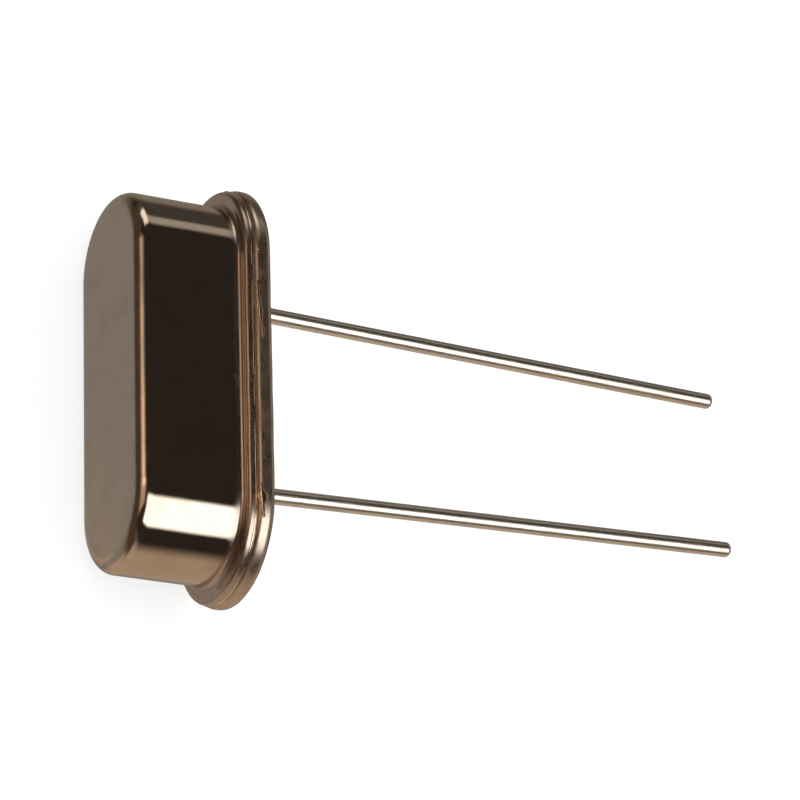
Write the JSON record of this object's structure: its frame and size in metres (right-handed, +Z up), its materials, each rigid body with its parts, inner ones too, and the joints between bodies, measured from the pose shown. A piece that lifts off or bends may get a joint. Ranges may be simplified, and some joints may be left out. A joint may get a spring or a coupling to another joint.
{
  "type": "crystal oscillator",
  "caption": "Low-profile quartz crystal unit: a long oval polished metal can welded to a flanged glass-sealed base, with wire leads and a clip-mounted quartz strip inside.",
  "frame": {"origin": "centre of the seating face, the flat underside of the base, midway between the leads", "axes": "+X the way the leads point from the base, seen along the floor; +Y along the long side of the can, towards the right lead; +Z up. The unit lies on the base flange's edge and the can's top edge, so the leads rise about 9.1 degrees above the floor"},
  "size_m": [0.0176, 0.0108, 0.0047],
  "materials": {
    "can_nickel": "polished warm nickel plate",
    "base_nickel": "nickel plate, a little duller than the can",
    "seal_glass": "dark blue-green sealing glass",
    "lead_wire": "plated iron-nickel wire, lightly drawn",
    "clip_spring": "thin nickel-silver spring sheet",
    "quartz": "finely lapped clear quartz",
    "silver_film": "evaporated silver",
    "silver_adhesive": "cured silver-filled adhesive"
  },
  "bodies": {
    "root": {"cover": "can_nickel", "base": "base_nickel", "seal_left": "seal_glass", "seal_right": "seal_glass", "lead_left": "lead_wire", "lead_right": "lead_wire", "clip_left": "clip_spring", "clip_right": "clip_spring", "quartz_strip": "quartz", "film_top": "silver_film", "film_bottom": "silver_film", "adhesive_left": "silver_adhesive", "adhesive_right": "silver_adhesive"}
  },
  "joints": []
}
